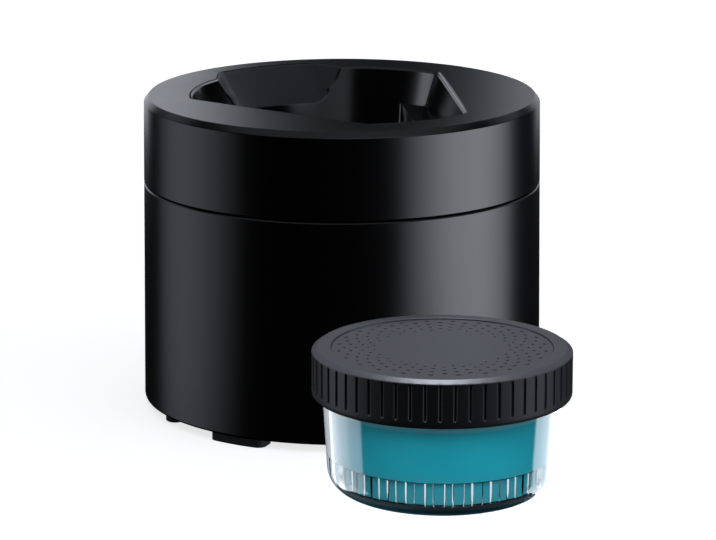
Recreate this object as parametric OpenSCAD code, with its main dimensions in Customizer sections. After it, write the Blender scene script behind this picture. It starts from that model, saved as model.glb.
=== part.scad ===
// Shaver cleaning station: a round pod in two halves that washes the head of a rotary shaver, and the
// screw-top cartridge of cleaning fluid that stands inside the pod in use and in front of it here.
// Millimetres, Z up. The origin is on the pod's axis at table height, and the pod's front faces -Y.

/* [Pod] */
// Radius of the pod at its top edge
pod_r = 67; // [66.5:0.1:68]
// Height of the pod above the table
pod_h = 106.7; // [106:0.1:108]
// Growth of the outer radius for each millimetre down the wall
pod_draft = 0.0091; // [0.004:0.0001:0.012]
// Height of the seam between the base and the top
seam_z = 77.3; // [77:0.1:77.6]
// Width of the dark gap at the seam
seam_gap = 0.6; // [0.5:0.1:0.8]
// Thickness of the outer mouldings
wall = 2.4; // [2.2:0.1:2.6]
// Height of the feet, which is also the gap under the base
foot_h = 2.6; // [2.4:0.1:2.8]
// Height of the bevel round the top edge
bevel_h = 2.1; // [1.8:0.1:2.4]
// Width of the bevel round the top edge
bevel_w = 1.7; // [1.4:0.1:2]

/* [Well] */
// Radius of the well's mouth in the top face
well_r = 51.4; // [51:0.1:51.8]
// How far the well's axis lies in front of the pod's axis
well_shift = 1.5; // [1:0.1:2]
// Lean of the round wall, in millimetres of radius for each millimetre of height
well_lean = 0.35; // [0.33:0.01:0.37]
// Radius of the scoop's back wall in the top face
scoop_r = 57; // [56.8:0.1:57.4]
// Lean of the scoop's back wall, in millimetres of radius for each millimetre of height
scoop_lean = 0.92; // [0.9:0.01:0.95]
// Height of the well's floor
well_floor = 74; // [74:0.1:75]
// Height of the ledges that carry the shaver
ledge_z = 95; // [94.5:0.1:95.5]
// Angle between the pod's X axis and the line square to a flat side wall
side_angle = 24.2; // [23:0.1:25]
// Distance of a flat side wall from the axis at the mouth
side_top = 37.2; // [37:0.1:37.5]
// Distance of a flat side wall from the axis at the ledge
side_low = 33.3; // [33:0.1:33.6]
// Distance of the narrow lower walls from the axis
side_well = 24.8; // [24.6:0.1:25]
// Thickness of the bowl
bowl_t = 2; // [1.8:0.1:2.2]

/* [Bayonet] */
// Number of lugs that hold the top to the base
lugs = 3; // [3:1:3]
// Width of a lug as an angle
lug_span = 24; // [20:1:24]
// Turn from set down to locked, clockwise from above
lock_turn = 24; // [20:1:24]

/* [Bay and batteries] */
// Radius of the bay that holds the cartridge
bay_r = 41; // [40.5:0.1:41]
// Height of the bay's floor
bay_floor = 10; // [10:0.1:10.5]
// Radius of the circle on which the cells stand
cell_ring = 54.6; // [54.6:0.1:54.8]
// Angle between neighbouring cells
cell_step = 17.1; // [17.1:0.1:17.6]
// Radius of an AA cell
cell_r = 7.25; // [7.1:0.05:7.25]

/* [Pump] */
// Distance of the motor and pump axis behind the pod's axis
pump_y = 8; // [7.5:0.1:8.5]
// Distance of the riser in front of the pod's axis
riser_y = 10.5; // [10.5:0.1:11]
// Radius of the motor
motor_r = 12.1; // [11.5:0.1:12.1]

/* [Cartridge] */
// Where the cartridge stands beside the pod's axis
cart_x = -25; // [-25:0.5:-24]
// Where the cartridge stands in front of the pod's axis
cart_y = -107; // [-109:0.5:-107]
// Radius of the cap
cap_r = 41; // [40.8:0.1:41.2]
// Height of the closed cartridge
cart_h = 46.4; // [46.2:0.1:46.8]
// Height of the cap's side
cap_h = 15.5; // [15.3:0.1:15.8]
// Number of grip grooves round the cap
grooves = 56; // [40:1:60]
// Thickness of the clear cup
cup_t = 1.8; // [1.6:0.1:2]
// Number of ribs inside the foot of the cup
cup_ribs = 36; // [24:1:36]
// Rise of the screw thread in one turn
pitch = 4.5; // [4.3:0.1:4.7]

/* [Hidden] */
$fn = 96;
eps = 0.01;

// Heights of the two halves at the seam, and the inside radius that both share
base_top = seam_z - seam_gap / 2;
cover_z = seam_z + seam_gap / 2;
inner_r = pod_r - wall;
plate_t = 2.4;
plate_top = foot_h + plate_t;

// Deck that closes the top half from below: flange, dish and the spigot with the lugs
deck_t = 2.4;
deck_top = cover_z + deck_t;
dish_r = 47;
dish_t = 2;
dish_z = 62;
dish_floor = dish_z + dish_t;
spigot_r = 62.4;
lug_r = inner_r - 0.3;
lug_z = 67;
lug_t = 2.5;
fit_gap = 0.3;
boss_r = 3.1;
pilot_r = 1.25;
screw_hole_r = 1.5;

// Cradle for the cartridge, and the seal on its rim
cradle_t = 2;
cradle_rim = 60;
seal_in = bay_r + 2.3;
seal_out = seal_in + 1.8;

// Battery door and its hinge line
door_x = 24.2;
door_y = 46;
door_r = 62.2;
hinge_r = 0.75;
hinge_fit = 0.05;
cell_low = 7.4;
cell_len = 49.2;
tray_top = 60.3;

// Motor pot, pump stand and the parts on the pump axis
pot_r = motor_r + 2;
pot_low = 44;
pot_top = 70;
volute_r = 11;
volute_low = 16.5;
volute_top = 24.5;
shaft_r = 1;
shaft_fit = 0.06;
tube_r = 4;
riser_bore = 2.8;

// Start plunger on the left ledge
plunger_n = 30.3;
stem_r = 1.4;
stem_fit = 0.05;
plunger_travel = 1.4;
bracket_top = 84.5;
collar_z = 91.4;
wire_r = 0.3;
coil_r = 2.1;
coil_turns = 5;
spring_rise = (collar_z - bracket_top - 2 * wire_r) / coil_turns;

// Cup and thread of the cartridge
cup_h = 44;
cup_low_r = 36.2;
cup_top_r = 37.6;
cup_round = 8;
cup_floor = 2.2;
neck_r = 37.2;
cap_low = cart_h - cap_h;
cap_bore = 39.2;
thread_z = 34;
cap_start = 63.75;
groove_r = 0.65;
groove_z = cap_low + 3;
fluid_level = 37;
rib_z = 4.5;
rib_h = 11.8;
rib_w = 2.7;
rib_in = 3.2;

// Screw positions, as [radius, angle]
cradle_screws = [[46, 30], [46, 150], [46, 270]];
shell_screws = [[61, -60], [61, -120], [61, 25], [61, 155]];
deck_points = [[54, -side_angle], [54, 180 + side_angle], [56, 45], [56, 135]];
// Feet under the edge, as [middle angle, half width, inner radius, outer radius], and the middle pad
stud_r = 1.9;
pad_r = 8;
foot_round = 2.6;
feet = [[-28.5, 9, 59, 67.7], [-151.5, 9, 59, 67.7], [50, 9, 59, 67.7], [130, 9, 59, 67.7],
        [3, 3, 60, 66], [177, 3, 60, 66]];

// Radius at height z of the pod's outside, of the well's round wall and of the scoop's back wall
function pod_r_at(z) = pod_r + pod_draft * (pod_h - z);
function well_r_at(z) = well_r - well_lean * (pod_h - z);
function scoop_r_at(z) = scoop_r - scoop_lean * (pod_h - z);
// Points of an arc about [cx, cy]
function arc(cx, cy, r, a1, a2, n = 10) =
    [for (i = [0:n]) let (a = a1 + (a2 - a1) * i / n) [cx + r * cos(a), cy + r * sin(a)]];
// The same list of points on the other side of the Y axis, in reverse order
function mirrored(points) = [for (i = [len(points) - 1:-1:0]) [-points[i][0], points[i][1]]];

module revolve(points) { rotate_extrude() polygon(points); }
module ring(r1, r2, z1, z2) { revolve([[r1, z1], [r2, z1], [r2, z2], [r1, z2]]); }
module post(r, z1, z2) { translate([0, 0, z1]) cylinder(r = r, h = z2 - z1); }
module polar(p) { rotate([0, 0, p[1]]) translate([p[0], 0, 0]) children(); }
// Part of a ring between two angles
module sector(r1, r2, z1, z2, a1, a2) {
    rotate([0, 0, a1]) rotate_extrude(angle = a2 - a1)
        polygon([[r1, z1], [r2, z1], [r2, z2], [r1, z2]]);
}
// Box from one corner to the other
module block(low, high) { translate(low) cube(high - low); }
// Frame of a flat side wall of the well: X is square to the wall. side is 1 on the right, -1 on the left
module at_side(side) { mirror([side < 0 ? 1 : 0, 0, 0]) rotate([0, 0, -side_angle]) children(); }
// Screw that points up, with the underside of its head at z = 0
module screw(length, head_r = 2.5, head_h = 1.2) {
    difference() {
        union() {
            post(head_r, -head_h, 0);
            post(pilot_r, 0, length);
        }
        for (a = [0, 90]) rotate([0, 0, a]) block([-1.6, -0.3, -head_h - 1], [1.6, 0.3, -head_h / 2]);
    }
}
// Ridge or wire swept along a helix. The section lists [radial, axial] offsets, anticlockwise
module helix(section, rise, turns, steps, r = 0) {
    sides = len(section);
    rings = ceil(turns * steps);
    points = [for (i = [0:rings]) let (a = 360 * turns * i / rings)
        for (p = section) [(r + p[0]) * cos(a), (r + p[0]) * sin(a), p[1] + rise * a / 360]];
    walls = [for (i = [0:rings - 1], j = [0:sides - 1]) let (k = (j + 1) % sides)
        each [[i * sides + j, i * sides + k, (i + 1) * sides + j],
              [i * sides + k, (i + 1) * sides + k, (i + 1) * sides + j]]];
    ends = [[for (j = [sides - 1:-1:0]) j], [for (j = [0:sides - 1]) rings * sides + j]];
    polyhedron(points, concat(walls, ends));
}

// ---------- Base ----------

// Outer wall of the base, with the bayonet ledges inside its mouth and bosses for its floor
module base_shell() color("#15161a") difference() {
    union() {
        revolve([[inner_r, foot_h], [pod_r_at(foot_h) - 0.8, foot_h], [pod_r_at(foot_h) - 0.2, foot_h + 0.25],
                 [pod_r_at(foot_h + 0.8), foot_h + 0.8], [pod_r_at(base_top), base_top - 0.4],
                 [pod_r_at(base_top) - 0.4, base_top], [inner_r, base_top]]);
        for (i = [0:lugs - 1]) let (a = 90 + i * 360 / lugs - lug_span / 2 - 2) {
            sector(spigot_r + fit_gap, inner_r + 1, lug_z + lug_t + fit_gap, lug_z + lug_t + 2.9, a - 30, a);
            sector(spigot_r + fit_gap, inner_r + 1, lug_z, lug_z + lug_t + 2.9, a - 30, a - 26);
        }
        for (p = shell_screws) polar(p) {
            post(boss_r, plate_top, 20);
            block([0, -1.5, plate_top], [inner_r - p[0] + 1, 1.5, 20]);
        }
    }
    for (p = shell_screws) polar(p) post(pilot_r, 0, 18);
}

// Floor of the base: opening and hinge ears for the battery door, screw holes and sockets for the feet
module base_plate() color("#1a1b1e") difference() {
    union() {
        post(inner_r - 0.2, foot_h, plate_top);
        for (s = [-1, 1]) block([s > 0 ? door_x + 0.3 : -door_x - 5, door_y - 2, plate_top - 0.5],
                                [s > 0 ? door_x + 5 : -door_x - 0.3, door_y + 2, plate_top + 1.2]);
    }
    intersection() {
        post(door_r + 0.3, 0, 20);
        block([-door_x - 0.3, door_y - 1.5, 0], [door_x + 0.3, 80, 20]);
    }
    translate([-door_x - 3.3, door_y, foot_h + plate_t / 2]) rotate([0, 90, 0])
        cylinder(r = hinge_r + hinge_fit, h = 2 * door_x + 6.6);
    for (p = concat(cradle_screws, shell_screws)) polar(p) {
        post(screw_hole_r, 0, 20);
        post(2.7, 0, foot_h + 1.4);
    }
    for (f = feet) polar([(f[2] + inner_r) / 2, f[0]]) post(stud_r + 0.1, 0, 20);
    post(stud_r + 0.1, 0, 20);
}

// Open cup that holds the cartridge, with a grooved rim for the seal
module cartridge_cradle() color("#202226") difference() {
    union() {
        revolve([[0, bay_floor - 2], [bay_r + cradle_t, bay_floor - 2], [bay_r + cradle_t, cradle_rim - 4],
                 [bay_r + 5, cradle_rim - 3], [bay_r + 5, cradle_rim], [bay_r, cradle_rim],
                 [bay_r, bay_floor], [0, bay_floor]]);
        ring(30, 32, plate_top, bay_floor - 1);
        for (p = cradle_screws) polar(p) post(boss_r, plate_top, 22);
    }
    ring(seal_in - 0.1, seal_out + 0.1, cradle_rim - 2, cradle_rim + 1);
    for (p = cradle_screws) polar(p) post(pilot_r, 0, 18);
}

module at_cells() { for (i = [-1:1]) rotate([0, 0, 90 + i * cell_step]) translate([cell_ring, 0, 0]) children(); }

// Three joined tubes with a roof, open at the bottom over the door
module battery_tray() color("#26282c") difference() {
    union() {
        at_cells() post(cell_r + 1.2, plate_top + 0.4, tray_top);
        for (s = [-1, 1]) block([s * 25 - 1.5, 50, plate_top], [s * 25 + 1.5, 54.5, 30]);
    }
    at_cells() post(cell_r + 0.2, 0, tray_top - 1.5);
}

module battery_cells() color("#8a6a3a") at_cells() {
    post(cell_r, cell_low, cell_low + cell_len);
    post(2.7, cell_low + cell_len, cell_low + cell_len + 1.3);
}

// Spring plates against the roof of the tray, over the cells
module battery_terminals() color("#c9b37a") at_cells() {
    post(5, tray_top - 2, tray_top - 1.5);
    post(1.5, cell_low + cell_len + 1.4, tray_top - 2);
}

// Two sprung pins that carry the current to the top half
module contact_pins() color("#d0b060") for (x = [-8, 8]) translate([x, cell_ring - 1, 0]) {
    post(1.6, tray_top, 72);
    post(0.8, 72, cover_z - 0.4);
}

module base_screws() color("#9a9ca0") for (p = concat(cradle_screws, shell_screws))
    polar(p) translate([0, 0, foot_h + 1.4]) screw(12);

// Outline of a foot, curved with the edge of the base and with corners rounded to radius c
function foot_outline(f, c) =
    let (far = f[3] - c, near = f[2] + c, out = f[1] - asin(c / far), inner = f[1] - asin(c / near))
    concat(arc(0, 0, f[3], -0.8 * out, 0.8 * out, 8),
           arc(far * cos(out), far * sin(out), c, out, f[1] + 90, 6),
           arc(near * cos(inner), near * sin(inner), c, f[1] + 90, inner + 180, 6),
           arc(0, 0, f[2], 0.8 * inner, -0.8 * inner, 8),
           arc(near * cos(inner), -near * sin(inner), c, 180 - inner, 270 - f[1], 6),
           arc(far * cos(out), -far * sin(out), c, 270 - f[1], 360 - out, 6));

// Pads under the edge of the base and under its middle, each with a stud in the floor
module rubber_feet() color("#0e0f10") {
    for (f = feet) {
        rotate([0, 0, f[0]]) linear_extrude(foot_h) polygon(foot_outline(f, foot_round));
        polar([(f[2] + inner_r) / 2, f[0]]) post(stud_r, foot_h - 0.5, plate_top - 0.4);
    }
    post(pad_r, 0, foot_h);
    post(stud_r, foot_h - 0.5, plate_top - 0.4);
}

// Door in the floor, with a round hinge edge and a stub pin at each end of it
module battery_door() color("#1a1b1e") {
    difference() {
        union() {
            intersection() {
                post(door_r, foot_h, plate_top);
                block([-door_x, door_y, foot_h], [door_x, 80, plate_top]);
            }
            translate([-door_x, door_y, foot_h + plate_t / 2]) rotate([0, 90, 0])
                cylinder(r = plate_t / 2, h = 2 * door_x);
            translate([-door_x - 3, door_y, foot_h + plate_t / 2]) rotate([0, 90, 0])
                cylinder(r = hinge_r, h = 2 * door_x + 6);
        }
        translate([0, door_r + 1, foot_h]) rotate([90, 0, 0]) cylinder(r = 1.4, h = 5);
        for (x = [-12:3:12]) block([x - 0.4, door_r - 10, foot_h - 1], [x + 0.4, door_r - 5, foot_h + 0.4]);
    }
}

// A bent leaf under each cell, fixed to the door
module door_contacts() color("#c9b37a") at_cells() rotate([0, 0, -90]) {
    block([-3, -4.5, plate_top], [3, 4.5, plate_top + 0.4]);
    translate([-2, -4.3, plate_top + 0.2]) rotate([13, 0, 0]) cube([4, 7.6, 0.35]);
}

// Rubber ring in the rim of the cradle. The top presses on it
module bay_seal() color("#3a3c40") difference() {
    ring(seal_in, seal_out, cradle_rim - 1.9, dish_z - 0.2);
    ring(seal_in + 0.6, seal_out - 0.6, dish_z - 0.6, dish_z + 1);
}

// ---------- Top half ----------

// Everything inside the well, grown outwards by g and cut off at height top_z
module well_form(g, top_z) {
    over = pod_h + 2.3;
    intersection() {
        block([-70, -70, 0], [70, 70, top_z]);
        union() {
            difference() {
                translate([0, -well_shift, well_floor - g])
                    cylinder(r1 = well_r_at(well_floor) + g, r2 = well_r_at(over) + g, h = over - well_floor + g);
                for (s = [-1, 1]) at_side(s) {
                    translate([side_top + g, -80, pod_h])
                        rotate([0, atan((side_top - side_low) / (pod_h - ledge_z)), 0])
                        translate([0, 0, -60]) cube([80, 160, 120]);
                    block([side_well + g, -80, 0], [120, 80, ledge_z - g]);
                }
            }
            well_recess(g, over);
        }
    }
}

// Scoop at the back of the well: a conical back wall between two flat cheeks that open to the front
module well_recess(g, over) {
    foot_z = 80;
    intersection() {
        translate([0, 0, foot_z])
            cylinder(r1 = scoop_r_at(foot_z) + g, r2 = scoop_r_at(over) + g, h = over - foot_z);
        hull() for (side = [[42, 0], [60, 11]])
            let (half = concat([[26.8 - side[1] + g, over], [22.65 - side[1] + g, 102.3]],
                               arc(11.9 - side[1], 102.7, 8.8 + g, -22, -90)))
            translate([0, side[0], 0]) rotate([90, 0, 0]) linear_extrude(eps) polygon(concat(half, mirrored(half)));
    }
}

// Band, bevel and top face in one moulding, with four bosses for the deck's screws
module top_cover() color("#191a1e") difference() {
    union() {
        revolve([[inner_r, cover_z], [pod_r_at(cover_z) - 0.3, cover_z], [pod_r_at(cover_z), cover_z + 0.3],
                 [pod_r_at(pod_h - bevel_h), pod_h - bevel_h], [pod_r - bevel_w, pod_h], [0, pod_h],
                 [0, pod_h - wall], [inner_r, pod_h - wall]]);
        for (p = deck_points) polar(p) post(boss_r, deck_top, pod_h - 1);
    }
    well_form(1, pod_h + 1);
    for (p = deck_points) polar(p) post(pilot_r, 0, deck_top + 12);
}

// Glossy bowl under the mouth: round wall, two flat side walls with ledges, scoop and narrow floor
module wash_bowl() color("#0b0c0e") difference() {
    union() {
        well_form(bowl_t, pod_h - wall - 0.05);
        well_form(0.95, pod_h);
    }
    well_form(0, pod_h + 1);
    translate([0, -riser_y, 0]) post(4, 0, 90);
    translate([0, 12, 0]) post(11.5, 0, 90);
    at_side(-1) translate([plunger_n, 0, 0]) post(stem_r + stem_fit, 0, 100);
}

// Floor of the top half: flange with the screws, dish that catches the fluid, spigot with the lugs
module lower_deck() color("#222428") difference() {
    union() {
        revolve([[0, dish_z], [dish_r + dish_t, dish_z], [dish_r + dish_t, cover_z], [spigot_r - 2, cover_z],
                 [spigot_r - 2, lug_z], [spigot_r, lug_z], [spigot_r, cover_z], [inner_r - 0.2, cover_z],
                 [inner_r - 0.2, deck_top], [dish_r, deck_top], [dish_r, dish_floor], [0, dish_floor]]);
        for (i = [0:lugs - 1]) let (a = 90 + i * 360 / lugs)
            sector(spigot_r - 1, lug_r, lug_z, lug_z + lug_t, a - lug_span / 2, a + lug_span / 2);
        for (p = [[0, 36], [-12, -30], [12, -30]]) translate([p[0], p[1], 0])
            post(2.5, dish_floor - 0.5, well_floor - bowl_t);
        at_side(1) for (t = [-26, -10]) translate([47.8, t, 0]) post(1.6, deck_top - 0.5, 84);
    }
    translate([0, pump_y, 0]) post(pot_r + 0.05, 0, 90);
    translate([0, -riser_y, 0]) post(tube_r + 0.05, 0, 90);
    for (s = [-1, 1], y = [-8, 2, 12]) translate([s * 25, y, 0]) post(2.6, 0, 70);
    for (p = deck_points) polar(p) post(screw_hole_r, 0, 90);
}

// Dry pot that hangs from the deck and keeps the fluid off the motor
module motor_housing() color("#2b2d31") translate([0, pump_y, 0]) difference() {
    union() {
        post(pot_r, pot_low, pot_top);
        post(pot_r + 2.5, dish_floor, dish_floor + 2);
    }
    translate([0, -riser_y - pump_y, 0]) post(tube_r + 0.2, 0, 90);
    post(motor_r + 0.15, pot_low + 4, 90);
    post(3.4, pot_low + 2, 90);
    post(1.6, 0, 90);
}

module motor_cover() color("#2b2d31") translate([0, pump_y, 0]) {
    post(pot_r, pot_top, pot_top + 1.5);
    ring(motor_r - 3, motor_r - 1, 68.4, pot_top);
}

// Steel can with a flat on two sides, its end boss and two tags
module pump_motor() color("#a8aaae") translate([0, pump_y, 0]) difference() {
    union() {
        intersection() {
            post(motor_r, pot_low + 4, 67);
            block([-10, -20, 0], [10, 20, 90]);
        }
        post(4, 67, 68.2);
        for (s = [-1, 1]) block([s * 6 - 0.8, -0.2, 67], [s * 6 + 0.8, 0.2, 69.6]);
    }
    post(shaft_r + shaft_fit, 0, 61);
}

module shaft_seal() color("#3a3c40") translate([0, pump_y, 0])
    ring(shaft_r + shaft_fit, 3.4, pot_low + 2, pot_low + 4);

// Stand that reaches down into the fluid: shaft tube, pump chamber and the riser beside them
module pump_column() color("#33363b") difference() {
    union() {
        translate([0, pump_y, 0]) {
            post(tube_r, volute_top - 1, pot_low);
            post(7, pot_low - 2, pot_low);
            post(volute_r, volute_low, volute_top);
        }
        translate([0, -riser_y, 0]) post(tube_r, volute_low, well_floor - bowl_t);
        block([-tube_r, -riser_y, volute_low], [tube_r, pump_y, volute_top]);
        block([-1, -riser_y, 36], [1, pump_y - 3, 39]);
    }
    translate([0, pump_y, 0]) {
        post(2.4, volute_low, 90);
        post(9.2, volute_low - 1, volute_top - 1.5);
    }
    translate([0, -riser_y, 0]) post(riser_bore, 19, 90);
    block([-2, -riser_y, 19], [2, 0, 22]);
}

// Slotted plate that closes the pump chamber from below and lets the fluid in
module pump_intake() color("#33363b") translate([0, pump_y, 0]) difference() {
    post(volute_r, volute_low - 1.6, volute_low);
    for (a = [0:30:330]) rotate([0, 0, a]) block([2.2, -0.5, 0], [6.2, 0.5, 30]);
}

// Jet in the floor of the well
module spray_nozzle() color("#2a2d31") translate([0, -riser_y, 0]) difference() {
    union() {
        post(3.9, well_floor - bowl_t, well_floor);
        revolve([[0, well_floor], [5.5, well_floor], [5.5, well_floor + 0.8], [3, well_floor + 3],
                 [2.2, well_floor + 3.6], [0, well_floor + 3.6]]);
    }
    post(2, 0, well_floor + 2.6);
    for (a = [0:60:300]) rotate([0, 0, a]) translate([0, 0, well_floor + 2]) rotate([0, 40, 0])
        cylinder(r = 0.5, h = 8);
}

// Perforated disc over the drain
module drain_strainer() color("#2a2d31") translate([0, 12, 0]) difference() {
    union() {
        post(13, well_floor, well_floor + 1);
        ring(10, 11.3, well_floor - 1.5, well_floor);
    }
    post(1, 0, 90);
    for (n = [1:3], i = [0:6 * n - 1]) rotate([0, 0, i * 60 / n]) translate([3 * n, 0, 0]) post(0.9, 0, 90);
}

// Circuit board beside the well, on two posts of the deck
module control_board() color("#1d5a3a") at_side(1) {
    block([42, -31, 84], [54, -6, 85.6]);
    block([44, -22, 85.6], [50, -15, 87]);
    for (t = [-28, -11]) translate([51, t, 0]) post(2, 85.6, 91);
    block([43.5, -12, 85.6], [47, -8.5, 89]);
}

// Shelf on the outside of the well's lower wall, which carries the spring and the light gate
module sensor_bracket() color("#2b2d31") at_side(-1) difference() {
    union() {
        block([side_well + bowl_t, -6, bracket_top - 2], [34.5, 6, bracket_top]);
        block([side_well + bowl_t, -6, bracket_top], [side_well + bowl_t + 0.8, 6, bracket_top + 4]);
    }
    translate([plunger_n, 0, 0]) post(1.7, 0, 100);
}

// Light gate: the tip of the plunger drops between its two arms
module start_sensor() color("#111214") at_side(-1) difference() {
    block([plunger_n - 3.4, -5, bracket_top - 10], [plunger_n + 3.4, 5, bracket_top - 2]);
    block([plunger_n - 4, -1.9, bracket_top - 7], [plunger_n + 4, 1.9, bracket_top]);
}

// Pads that meet the sprung pins when the top is locked
module contact_pads() color("#d0b060") for (x = [-8, 8])
    let (r = norm([x, cell_ring - 1]), a = atan2(cell_ring - 1, x) + lock_turn)
    sector(r - 2, r + 2, cover_z - 0.25, cover_z, a - 3, a + 3);

module deck_screws() color("#9a9ca0") for (p = deck_points)
    polar(p) translate([0, 0, cover_z]) screw(13);

// Button that the shaver's head presses as it sits down
module start_plunger() color("#33363b") at_side(-1) translate([plunger_n, 0, 0]) {
    revolve([[0, ledge_z + plunger_travel + 0.2], [2.8, ledge_z + plunger_travel + 0.2],
             [2.8, ledge_z + 2.4], [2.2, ledge_z + 3], [0, ledge_z + 3]]);
    post(stem_r, 80.6, ledge_z + plunger_travel + 0.3);
    post(2.6, collar_z, ledge_z - bowl_t - 0.2);
}

// Return spring between the shelf and the plunger's collar
module plunger_spring() color("#b8babd") at_side(-1)
    translate([plunger_n, 0, bracket_top + wire_r])
    helix([for (j = [0:5]) [wire_r * cos(60 * j), wire_r * sin(60 * j)]], spring_rise, coil_turns, 8, coil_r);

module pump_shaft() color("#c0c2c6") translate([0, pump_y, 0]) post(shaft_r, 18.2, 60.8);

module impeller() color("#4a4d52") translate([0, pump_y, 0]) difference() {
    union() {
        post(2.3, 17.6, 22.4);
        post(8.6, 21.4, 22.4);
        for (a = [0:60:300]) rotate([0, 0, a]) block([1.5, -0.5, 18], [8.5, 0.5, 21.8]);
    }
    post(shaft_r, 18.2, 30);
}

// ---------- Cartridge ----------

module at_cartridge() { translate([cart_x, cart_y, 0]) children(); }

// Ridge of the thread: wide at its root, narrow at its crest, outside the cup or inside the cap
function ridge(root, crest) = let (s = sign(crest - root))
    [[root, -0.8 * s], [crest, -0.35 * s], [crest, 0.35 * s], [root, 0.8 * s]];

// Outside of the cup drawn in by g, from height z1 to the rim
function cup_side(g, z1) = concat(
    [[0, z1]], arc(cup_low_r - cup_round, cup_round, cup_round - g, -90, 0, 8),
    [[cup_top_r - g, cap_low - 0.6], [neck_r - g, cap_low + 0.6]]);

// Clear cup with ribs inside its foot and the screw thread round its neck
module cartridge_cup() color("#bfe6ea", 0.5) at_cartridge() {
    difference() {
        revolve(concat(cup_side(0, 0), [[neck_r, cup_h], [0, cup_h]]));
        revolve(concat(cup_side(cup_t, cup_floor), [[neck_r - cup_t, cup_h + 1], [0, cup_h + 1]]));
        post(cup_low_r - cup_round - 2, -1, 0.8);
    }
    intersection() {
        for (i = [0:cup_ribs - 1]) rotate([0, 0, i * 360 / cup_ribs])
            block([cup_low_r - rib_in, -rib_w / 2, rib_z], [cup_low_r + 1, rib_w / 2, rib_h]);
        revolve(concat(cup_side(cup_t / 2, cup_t / 2), [[neck_r - cup_t / 2, cup_h], [0, cup_h]]));
    }
    translate([0, 0, thread_z]) helix(ridge(neck_r - 0.3, 38.7), pitch, 1.25, 48);
}

// Fluid inside the cup, short of the ribs below their tops
module cleaning_fluid() color("#1593a5", 0.8) at_cartridge()
    revolve([[0, cup_floor + 0.1], [cup_low_r - 6.5, cup_floor + 0.1], [cup_low_r - rib_in - 0.1, 5],
             [cup_low_r - rib_in - 0.1, rib_h + 0.2], [cup_low_r - cup_t - 0.1, rib_h + 0.3],
             [neck_r - cup_t - 0.2, cap_low - 0.7], [neck_r - cup_t - 0.2, fluid_level], [0, fluid_level]]);

// Foam disc that the cap presses on the rim. It rises with the cap but needn't turn
module cap_liner() color("#d8dadc") at_cartridge() post(cap_bore - 0.7, cup_h + 0.1, cup_h + 0.9);

// Screw cap: bevelled top with a sunken disc, grip grooves and a smooth lower skirt
module cartridge_cap() color("#2c2d31") at_cartridge() {
    difference() {
        revolve(concat([[cap_bore, cap_low]], arc(cap_r - 1.2, cap_low + 1.2, 1.2, -90, 0, 6),
                       [[cap_r, cart_h - 1.2], [cap_r - 1.8, cart_h], [35, cart_h], [34.6, cart_h - 0.5],
                        [0, cart_h - 0.5], [0, cup_h + 1], [cap_bore, cup_h + 1]]));
        for (i = [0:grooves - 1]) rotate([0, 0, i * 360 / grooves]) translate([cap_r + 0.1, 0, 0])
            post(groove_r, groove_z, cart_h + 1);
    }
    translate([0, 0, thread_z - pitch / 2 + pitch * cap_start / 360]) rotate([0, 0, cap_start])
        helix(ridge(cap_bore + 0.2, 37.9), pitch, 1, 48);
}

base_shell();
base_plate();
cartridge_cradle();
battery_tray();
battery_cells();
battery_terminals();
contact_pins();
base_screws();
rubber_feet();
battery_door();
door_contacts();
bay_seal();
top_cover();
wash_bowl();
lower_deck();
motor_housing();
motor_cover();
pump_motor();
shaft_seal();
pump_column();
pump_intake();
spray_nozzle();
drain_strainer();
control_board();
sensor_bracket();
start_sensor();
contact_pads();
deck_screws();
start_plunger();
plunger_spring();
pump_shaft();
impeller();
cartridge_cup();
cleaning_fluid();
cap_liner();
cartridge_cap();
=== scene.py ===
import math

import bmesh
import bpy
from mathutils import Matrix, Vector


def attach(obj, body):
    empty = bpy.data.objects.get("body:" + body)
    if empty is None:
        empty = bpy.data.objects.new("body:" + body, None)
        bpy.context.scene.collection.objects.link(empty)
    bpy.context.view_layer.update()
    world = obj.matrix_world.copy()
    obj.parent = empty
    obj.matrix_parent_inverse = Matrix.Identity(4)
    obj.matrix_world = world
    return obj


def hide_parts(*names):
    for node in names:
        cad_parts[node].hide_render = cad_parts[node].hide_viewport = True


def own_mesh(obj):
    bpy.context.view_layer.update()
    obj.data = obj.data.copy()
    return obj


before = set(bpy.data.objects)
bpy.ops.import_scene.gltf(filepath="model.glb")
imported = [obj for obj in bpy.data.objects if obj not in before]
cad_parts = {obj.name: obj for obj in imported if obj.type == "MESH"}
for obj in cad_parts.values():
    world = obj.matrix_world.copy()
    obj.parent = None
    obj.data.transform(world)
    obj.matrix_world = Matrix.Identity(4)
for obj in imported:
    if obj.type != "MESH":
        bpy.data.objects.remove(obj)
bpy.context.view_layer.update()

MM = 0.001

# ---------- Viewpoint ----------
# The photograph is taken from the front left, 30 degrees round the pod and 14 degrees above it, with a long
# lens. The image is 716 by 540 pixels, and the lens is the one that gives the photograph's convergence.
AIM = Vector((4.72, -2.73, 45.1)) * MM
EYE = Vector((-578.0, -1012.1, 330.9)) * MM
camera = bpy.data.objects.new("camera", bpy.data.cameras.new("camera"))
bpy.context.scene.collection.objects.link(camera)
bpy.context.scene.camera = camera
camera.location = EYE
camera.rotation_euler = (AIM - EYE).to_track_quat("-Z", "Y").to_euler()
camera.data.lens = 176.1
camera.data.clip_start = 0.05
camera.data.clip_end = 20


# ---------- Studio ----------
# Seamless white paper under the set, and eight soft boxes round the pod. Those at its sides draw the two
# light bands on its wall, those low behind it light its top face from both ends and leave the middle dark,
# and the rest fill in from above and in front.
def srgb(code):
    """A colour written as sRGB hex, as the linear values that shaders take."""
    parts = [int(code[i:i + 2], 16) / 255 for i in (1, 3, 5)]
    return (*[c / 12.92 if c <= 0.04045 else ((c + 0.055) / 1.055) ** 2.4 for c in parts], 1)


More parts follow.
